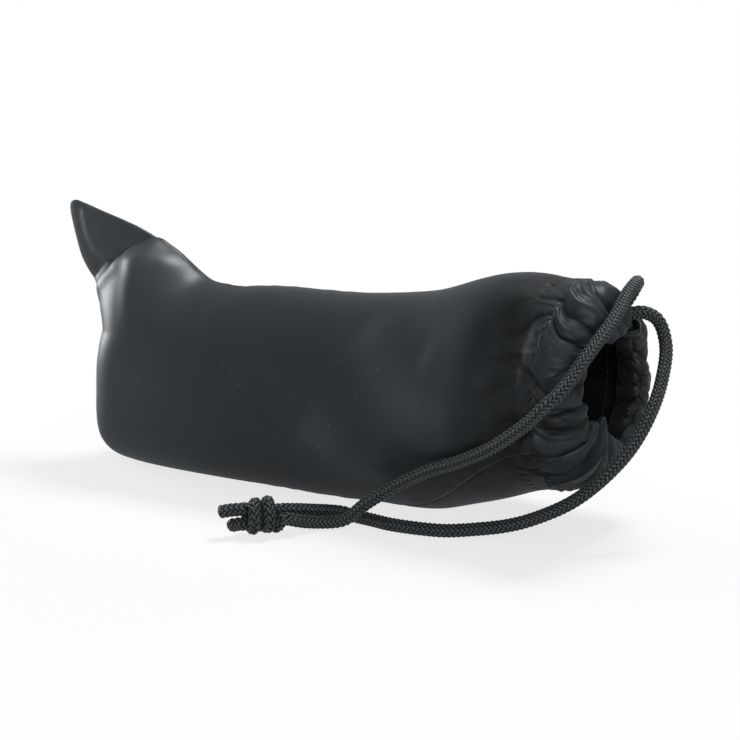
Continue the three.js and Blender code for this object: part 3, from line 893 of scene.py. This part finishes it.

# Folds with a place of their own, each with its line on the front in x and z, its height and width, and
# how much painted highlight lightens the cloth's colour along it
front_folds = [
    # the standing corner's edge, from its tip down to the end's edge, with a faint painted highlight
    {
        "line": [(-87, 77), (-84.5, 71), (-83.5, 67), (-81, 63), (-76, 59.6), (-73.5, 56.5)],
        "height": 1.2, "width": 2.2, "painted_highlight": 0.1,
    },
    # the fold that falls from the flap to the closed end, and the groove over it
    {
        "line": [(-66, 62), (-68.5, 59.5), (-72, 55.5), (-75, 52), (-77, 49)],
        "height": 1.0, "width": 2.3, "painted_highlight": 0,
    },
    {
        "line": [(-76, 57), (-71.5, 60.5), (-66, 63)],
        "height": -0.8, "width": 1.6, "painted_highlight": 0,
    },
    # the shoulder's upper edge, running down into the body, with a painted highlight along it
    {
        "line": [
            (-73, 60), (-69, 61), (-64, 61.5), (-58, 61.5),
            (-52, 60.5), (-46, 58.8), (-40, 57), (-34, 55.3),
        ],
        "height": 1.0, "width": 2.6, "painted_highlight": 0.2,
    },
    # two folds across the front with painted highlights along them, and two more towards the mouth, the
    # first with a faint one
    {
        "line": [(6, 27), (9.1, 24.7), (14.7, 19.1), (22.8, 16), (35.8, 15.6)],
        "height": 0.5, "width": 4, "painted_highlight": 0.3,
    },
    {
        "line": [(20, 53), (24.5, 49.2), (30, 42.9), (37.3, 36.8), (46.8, 32.5), (57.7, 31.2)],
        "height": 0.5, "width": 4.5, "painted_highlight": 0.36,
    },
    {
        "line": [(42, 47), (52, 43.5), (64.2, 38.6)],
        "height": 0.6, "width": 6, "painted_highlight": 0.1,
    },
    {
        "line": [(36, 25), (50, 23.2), (63, 22)],
        "height": 0.5, "width": 4, "painted_highlight": 0,
    },
    # the hollow of the neck before the hem
    {
        "line": [(73, 64), (70.5, 56), (69.5, 46), (70.5, 37), (75, 28)],
        "height": -3, "width": 6.5, "painted_highlight": 0,
    },
    # no fold, but a painted highlight in a strip down the edge of the closed end
    {
        "line": [(-76, 46), (-78, 38), (-78, 26), (-76, 15)],
        "height": 0, "width": 5, "painted_highlight": 0.25,
    },
]
side_x, side_z = cloth[:, :, 0] + cloth_shift, cloth[:, :, 2]
on_front = smooth(-cloth[:, :, 1], 0.2, 1.6) * smooth(before, 0, 6)
for fold in front_folds:
    nearest, reached, length = np.full(side_x.shape, 1e9), 0 * side_x, 0
    for (x0, z0), (x1, z1) in zip(fold["line"], fold["line"][1:]):
        span = math.hypot(x1 - x0, z1 - z0)
        t = np.clip(((side_x - x0) * (x1 - x0) + (side_z - z0) * (z1 - z0)) / span**2, 0, 1)
        distance_off = np.hypot(side_x - x0 - t * (x1 - x0), side_z - z0 - t * (z1 - z0))
        reached = np.where(distance_off < nearest, length + t * span, reached)
        nearest = np.minimum(nearest, distance_off)
        length += span
    fading = on_front * smooth(np.minimum(reached, length - reached), -0.1, min(0.3 * length, 6))
    lift += fold["height"] * fading * hump(nearest, 0, fold["width"])
    # Painted highlight: the cloth's colour is made lighter along the fold
    tone_and_painted_light = tone_and_painted_light + fold["painted_highlight"] * fading * hump(nearest, 0, 1.5 * fold["width"])

# All of it dies out towards the closed end's seam
lift *= 0.15 + 0.85 * smooth(alongs, 0, 3.5)[:, None]

# The turned-in layer comes back to lie under the outer one, and follows it, at the stitches
back_under = smooth(past, 21, 28.5)
lift = lift * (1 - 2 * back_under) + 0.8 * back_under

lean = 0.9 * fold_side * (large - 0.5) * np.where(in_front_of_hem, near, 1)
sideways = normalised(across_cloth(cloth))
cloth = cloth + lift[:, :, None] * normals_of(cloth) + lean[:, :, None] * sideways
cloth[:body_count, -1] = cloth[:body_count, 0]
cloth[:, :, 0] += cloth_shift
cloth[:, :, 2] = np.maximum(cloth[:, :, 2], cloth_thickness)

# Microfibre: near black with a satin sheen, a fine nap and a few specks of lint. The piece's "lie" holds
# the painted shade and painted highlights, which set the base colour between near black and the cloth's
# own colour, and how tight the cloth is; both also rule its shine.
fabric = bpy.data.materials.new("microfibre")
fabric.use_nodes = True
tree = fabric.node_tree
skin = tree.nodes["Principled BSDF"]
skin.inputs["Roughness"].default_value = 0.6
skin.inputs["Specular IOR Level"].default_value = 0.04
skin.inputs["Sheen Weight"].default_value = 0.06
skin.inputs["Sheen Roughness"].default_value = 0.4
skin.inputs["Sheen Tint"].default_value = (0.75, 0.8, 0.88, 1)
place = add_node(tree, "TexCoord")
mottle = add_node(tree, "TexNoise", {"Scale": 45, "Detail": 4})
lint = add_node(tree, "TexVoronoi", {"Scale": 260})
nap = add_node(tree, "TexNoise", {"Scale": 3200, "Detail": 3})
for texture in (mottle, lint, nap):
    tree.links.new(place.outputs["Object"], texture.inputs["Vector"])
dark_patch, light_patch = (0.0196, 0.0232, 0.0262, 1), (0.0257, 0.0304, 0.0343, 1)
shades = ramp(tree, mottle.outputs["Fac"], 0.35, dark_patch, 0.7, light_patch)
is_lint = add_node(tree, "Math", {1: 0.052}, operation="LESS_THAN")
tree.links.new(lint.outputs["Distance"], is_lint.inputs[0])
with_lint = add_node(tree, "Mix", {"B": (0.12, 0.13, 0.133, 1)}, data_type="RGBA")
tree.links.new(is_lint.outputs[0], with_lint.inputs["Factor"])
tree.links.new(shades, with_lint.inputs["A"])
lie = add_node(tree, "UVMap", uv_map="lie")
parts_of = add_node(tree, "SeparateXYZ")
tree.links.new(lie.outputs["UV"], parts_of.inputs["Vector"])
# Painted shade and light: the base colour runs from near black to the cloth's own colour by the lie's
# first value
painted_light_mix = add_node(tree, "Mix", {"A": (0.0022, 0.003, 0.0038, 1)}, data_type="RGBA")
tree.links.new(parts_of.outputs["X"], painted_light_mix.inputs["Factor"])
tree.links.new(with_lint.outputs["Result"], painted_light_mix.inputs["B"])
tree.links.new(painted_light_mix.outputs["Result"], skin.inputs["Base Color"])
fuzz = add_node(tree, "Bump", {"Strength": 0.25, "Distance": 0.0001})
tree.links.new(nap.outputs["Fac"], fuzz.inputs["Height"])
stretched = add_node(tree, "MapRange", {"To Min": 0.0217, "To Max": 0.0556})
tree.links.new(parts_of.outputs["Y"], stretched.inputs["Value"])
# The glossy share is scaled by the same painted shade and highlights, so it is smaller in the creases
satin = add_node(tree, "MapRange", {"To Min": 0.004})
tree.links.new(stretched.outputs["Result"], satin.inputs["To Max"])
tree.links.new(parts_of.outputs["X"], satin.inputs["Value"])
with_gloss(tree, skin, fuzz.outputs["Normal"], satin.outputs["Result"], (0.9, 0.96, 1, 1), 0.39)


# The hem stitches. Short bites of black polyester thread in two rows that hold the hem, laid along
# the cloth's inner side. They show inside the mouth, and outside only as rows of pressed marks.

thread_radius = 0.2
thread_stand = 0.12  # from the cloth's inner side out to a bite's middle
thread_dive = 0.3  # from there back in to a bite's ends
stitch_length = 2.1
stitch_rings = 7
thread_sides = 6

thread = bpy.data.materials.new("sewing_thread")
thread.use_nodes = True
tree = thread.node_tree
skin = tree.nodes["Principled BSDF"]
skin.inputs["Roughness"].default_value = 0.5
skin.inputs["Specular IOR Level"].default_value = 0.3
place = add_node(tree, "TexCoord")
fibres = add_node(tree, "TexNoise", {"Scale": 4000, "Detail": 2})
tree.links.new(place.outputs["Object"], fibres.inputs["Vector"])
dark_fibre, light_fibre = (0.006, 0.007, 0.008, 1), (0.024, 0.027, 0.029, 1)
shades = ramp(tree, fibres.outputs["Fac"], 0.35, dark_fibre, 0.7, light_fibre)
tree.links.new(shades, skin.inputs["Base Color"])
strands = add_node(tree, "Bump", {"Strength": 0.4, "Distance": 0.00005})
tree.links.new(fibres.outputs["Fac"], strands.inputs["Height"])
tree.links.new(strands.outputs["Normal"], skin.inputs["Normal"])

vertices, faces = [], []
outward = normals_of(cloth)
lengthways = np.array([1.0, 0, 0])
for row in stitch_rows:
    nearest_row = int(np.argmin(np.abs(alongs - body_length - row)))
    line, away = cloth[nearest_row], outward[nearest_row]
    places_on = np.concatenate([[0], np.cumsum(np.linalg.norm(np.diff(line, axis=0), axis=1))])
    for middle in np.arange(4, places_on[-1] - 3, stitch_spacing):
        up = normalised(np.array([np.interp(middle, places_on, away[:, axis]) for axis in range(3)]))
        beside = normalised(lengthways - up * (lengthways @ up))
        base = len(vertices)
        for t in np.linspace(-1, 1, stitch_rings):
            at = middle + t * stitch_length / 2
            centre = np.array([np.interp(at, places_on, line[:, axis]) for axis in range(3)])
            centre = centre + up * (thread_stand - thread_dive * t * t)
            for angle in np.linspace(0, 2 * math.pi, thread_sides, endpoint=False):
                out = math.cos(angle) * up + math.sin(angle) * beside
                vertices.append(centre + thread_radius * out)
        for i in range(stitch_rings - 1):
            for k in range(thread_sides):
                a, b = base + thread_sides * i + k, base + thread_sides * i + (k + 1) % thread_sides
                faces.append((a, b, b + thread_sides, a + thread_sides))
stitches = add_piece("hem_stitches", vertices, faces, thread)


# The two panels. Each is its side of the cloth above, from seam to seam, with the hem turned in at
# its mouth, thickened outwards. The cord holds both of them gathered.

panel_picks = {
    "front_panel": np.arange(0, front_columns + 1),
    "back_panel": np.arange(front_columns, front_columns + back_columns + 1),
}
for name, picked in panel_picks.items():
    points = cloth[:, picked]
    rows, across = points.shape[:2]
    grid = np.arange(rows * across).reshape(rows, across)
    faces = np.stack([grid[:-1, :-1], grid[1:, :-1], grid[1:, 1:], grid[:-1, 1:]], 2).reshape(-1, 4)
    # Painted shade and highlights, and the tightness, handed to the material
    painted_light_and_tightness = np.stack([tone_and_painted_light[:, picked], tightness[:, picked]], 2).reshape(-1, 2)
    panel = add_piece(name + "_cloth", points.reshape(-1, 3), faces.tolist(), fabric, painted_light_and_tightness)
    thickness = panel.modifiers.new("cloth", "SOLIDIFY")
    thickness.thickness = cloth_thickness * MM
    thickness.offset = -1
    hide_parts(name)
